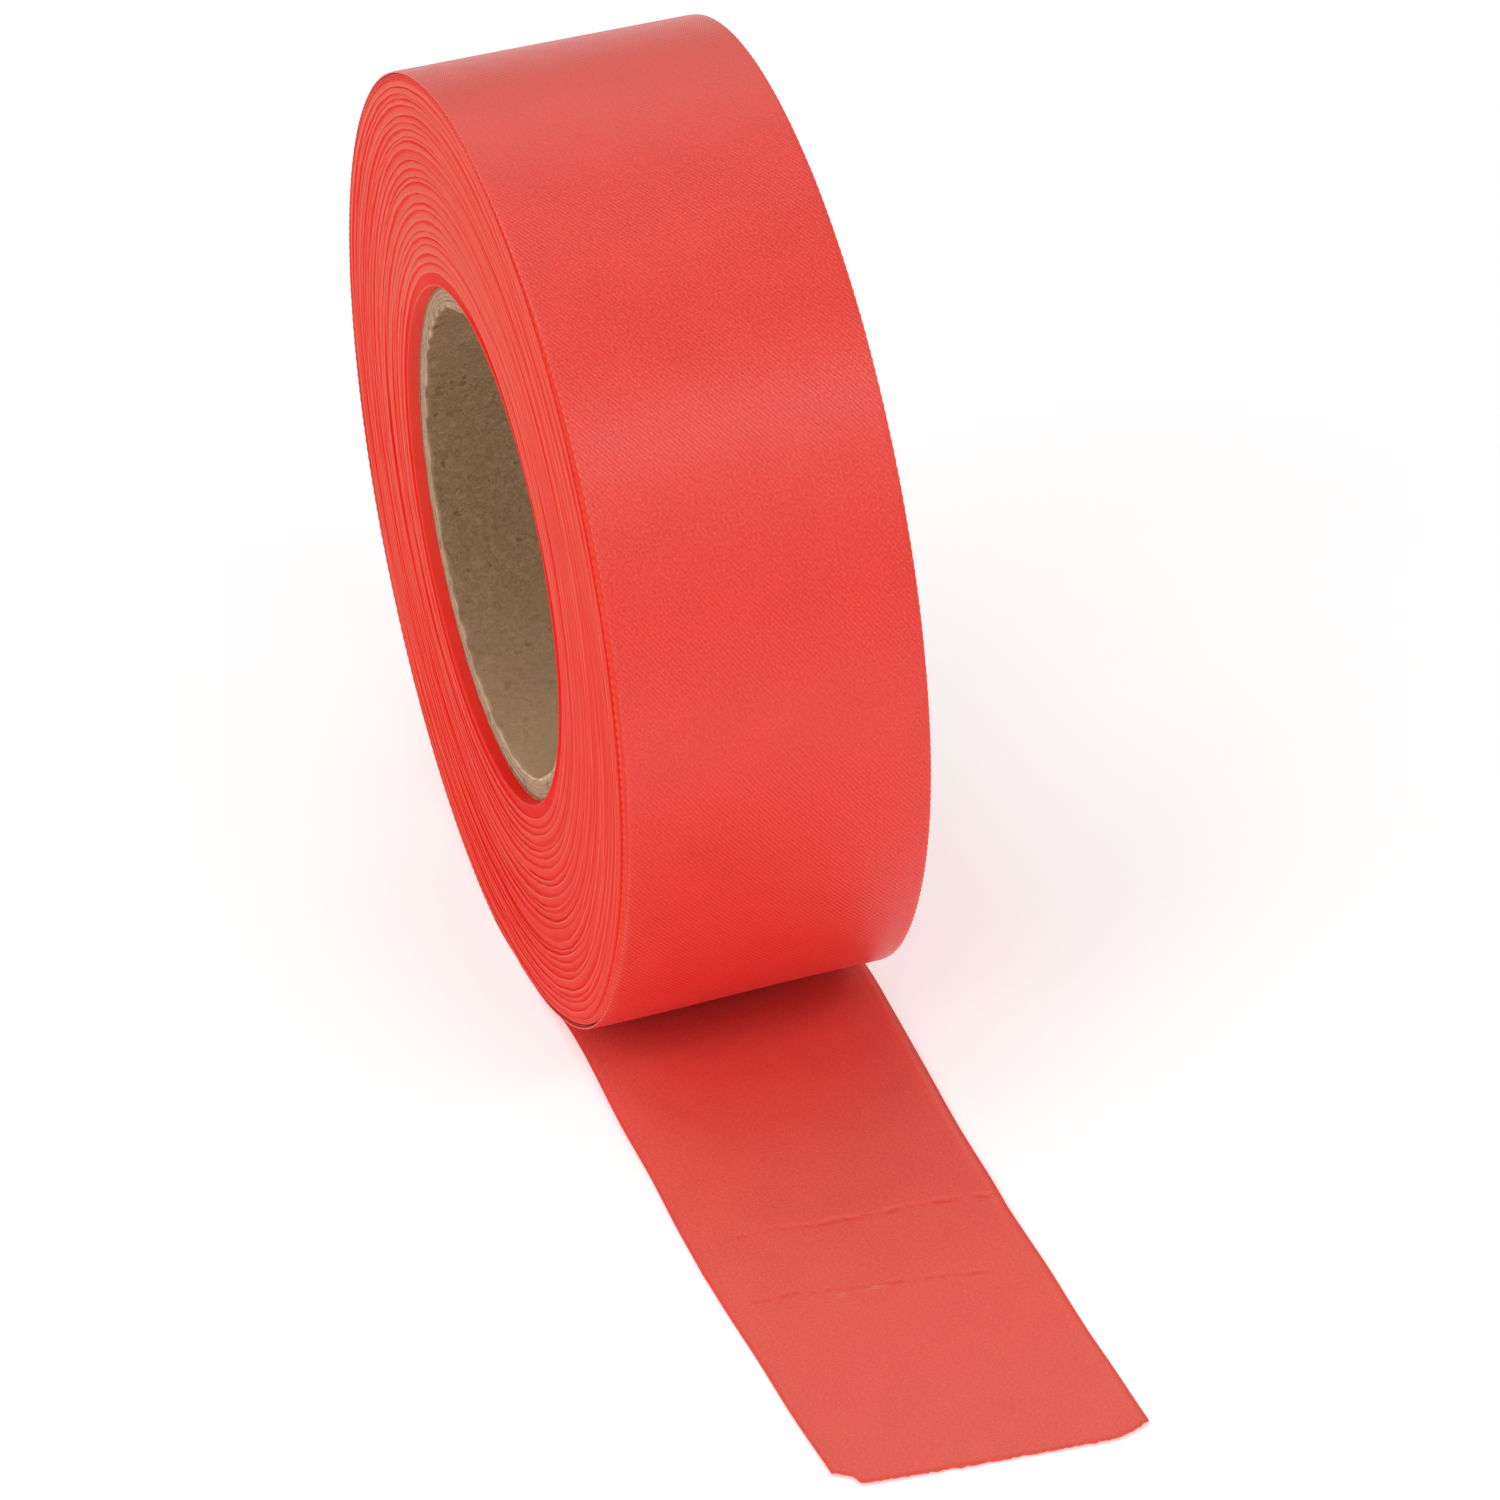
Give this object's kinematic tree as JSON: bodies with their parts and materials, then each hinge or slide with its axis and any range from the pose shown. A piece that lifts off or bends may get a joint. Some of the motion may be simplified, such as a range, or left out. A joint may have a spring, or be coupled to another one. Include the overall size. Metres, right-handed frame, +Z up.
{
  "type": "duct tape roll",
  "caption": "Roll of cloth duct tape on a cardboard core, standing on its rim with a free tail lying flat in front, which curls up off the ground.",
  "frame": {"origin": "on the ground under the middle of the roll's axis, where the roll stands on the tail's root", "axes": "+X along the roll's axis, towards the face the core is flush with; +Z up; the tail runs towards -Y"},
  "size_m": [0.0542, 0.2407, 0.1525],
  "materials": {
    "tape_face": "satin",
    "tape_back": "matte",
    "tape_edges": "matte",
    "kraft_liner": "matte",
    "core_board": "matte",
    "starter_glue": "satin"
  },
  "bodies": {
    "roll": {"core_liner_inner": "kraft_liner", "core_board_1": "core_board", "core_board_2": "core_board", "core_board_3": "core_board", "core_board_4": "core_board", "core_liner_outer": "kraft_liner", "starter_strip": "starter_glue", "wound_tape": "tape_edges", "outer_turn": "tape_face", "tail_root": "tape_face"},
    "tail_1": {"tail_link_1": "tape_back"},
    "tail_2": {"tail_link_2": "tape_back"},
    "tail_3": {"tail_link_3": "tape_back"},
    "tail_4": {"tail_link_4": "tape_back"},
    "tail_5": {"tail_link_5": "tape_back"},
    "tail_6": {"tail_link_6": "tape_back"},
    "tail_7": {"tail_link_7": "tape_back"},
    "tail_8": {"tail_link_8": "tape_back"}
  },
  "joints": [
    {"name": "tail_curl_1", "type": "hinge", "parent": "roll", "child": "tail_1", "pos_m": [0, -0.022, 0.00013], "axis": [-1, 0, 0], "range_deg": [0, 14.2]},
    {"name": "tail_curl_2", "type": "hinge", "parent": "tail_1", "child": "tail_2", "pos_m": [0, -0.03943, 0.00013], "axis": [-1, 0, 0], "range_deg": [0, 14.2]},
    {"name": "tail_curl_3", "type": "hinge", "parent": "tail_2", "child": "tail_3", "pos_m": [0, -0.05685, 0.00013], "axis": [-1, 0, 0], "range_deg": [0, 14.2]},
    {"name": "tail_curl_4", "type": "hinge", "parent": "tail_3", "child": "tail_4", "pos_m": [0, -0.07427, 0.00013], "axis": [-1, 0, 0], "range_deg": [0, 14.2]},
    {"name": "tail_curl_5", "type": "hinge", "parent": "tail_4", "child": "tail_5", "pos_m": [0, -0.0917, 0.00013], "axis": [-1, 0, 0], "range_deg": [0, 14.2]},
    {"name": "tail_curl_6", "type": "hinge", "parent": "tail_5", "child": "tail_6", "pos_m": [0, -0.10912, 0.00013], "axis": [-1, 0, 0], "range_deg": [0, 14.2]},
    {"name": "tail_curl_7", "type": "hinge", "parent": "tail_6", "child": "tail_7", "pos_m": [0, -0.12655, 0.00013], "axis": [-1, 0, 0], "range_deg": [0, 14.2]},
    {"name": "tail_curl_8", "type": "hinge", "parent": "tail_7", "child": "tail_8", "pos_m": [0, -0.14397, 0.00013], "axis": [-1, 0, 0], "range_deg": [0, 14.2]}
  ],
  "couplings": [
    {"joint": "tail_curl_2", "follows": "tail_curl_1", "ratio": 1},
    {"joint": "tail_curl_3", "follows": "tail_curl_1", "ratio": 1},
    {"joint": "tail_curl_4", "follows": "tail_curl_1", "ratio": 1},
    {"joint": "tail_curl_5", "follows": "tail_curl_1", "ratio": 1},
    {"joint": "tail_curl_6", "follows": "tail_curl_1", "ratio": 1},
    {"joint": "tail_curl_7", "follows": "tail_curl_1", "ratio": 1},
    {"joint": "tail_curl_8", "follows": "tail_curl_1", "ratio": 1}
  ]
}
